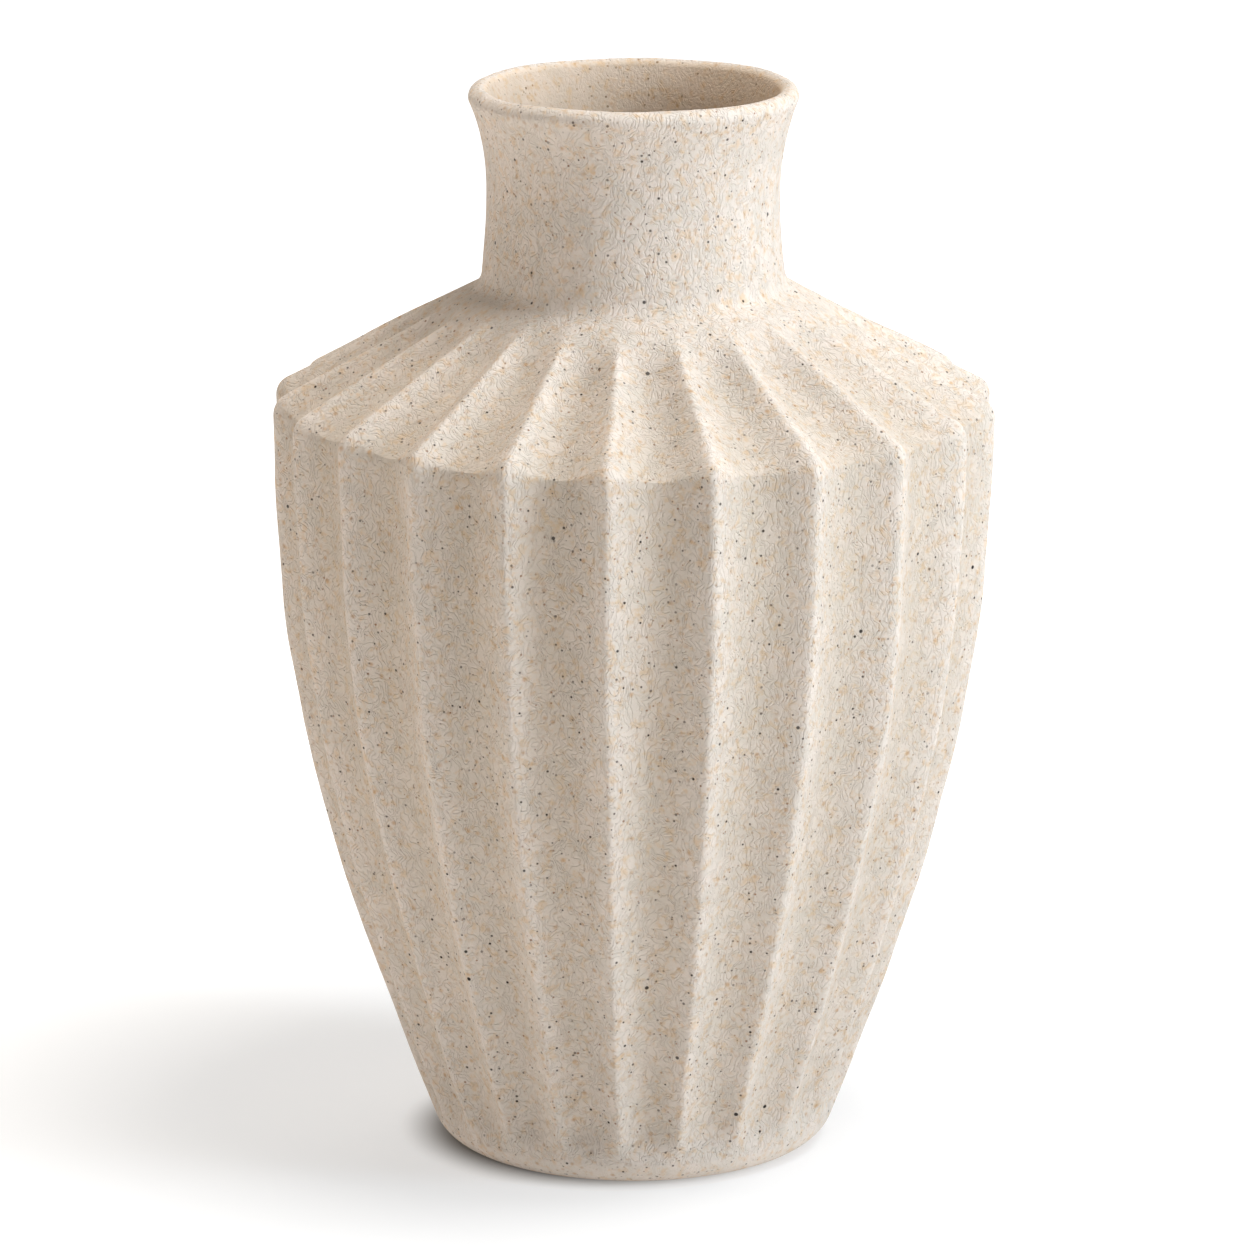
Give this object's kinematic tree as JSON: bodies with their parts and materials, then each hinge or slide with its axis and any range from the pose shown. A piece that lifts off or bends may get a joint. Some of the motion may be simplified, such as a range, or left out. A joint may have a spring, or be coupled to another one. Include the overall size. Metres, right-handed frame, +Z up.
{
  "type": "pottery vase",
  "caption": "Fluted stoneware vase: tapering body with hollow vertical flutes, a sharp sloping shoulder, a waisted neck and a rounded flared lip.",
  "frame": {"origin": "centre of the foot, on the level that the vase stands on", "axes": "+Z up along the vase's axis, -Y is the front"},
  "size_m": [0.1992, 0.2005, 0.3],
  "materials": {
    "bare_stoneware": "matte",
    "speckled_stoneware": "matte",
    "liner_glaze": "satin"
  },
  "bodies": {
    "root": {"foot_ring": "bare_stoneware", "base_floor": "speckled_stoneware", "lower_wall": "speckled_stoneware", "upper_wall": "speckled_stoneware", "shoulder": "speckled_stoneware", "neck": "speckled_stoneware", "rim_lip": "speckled_stoneware", "liner_glaze": "liner_glaze"}
  },
  "joints": []
}
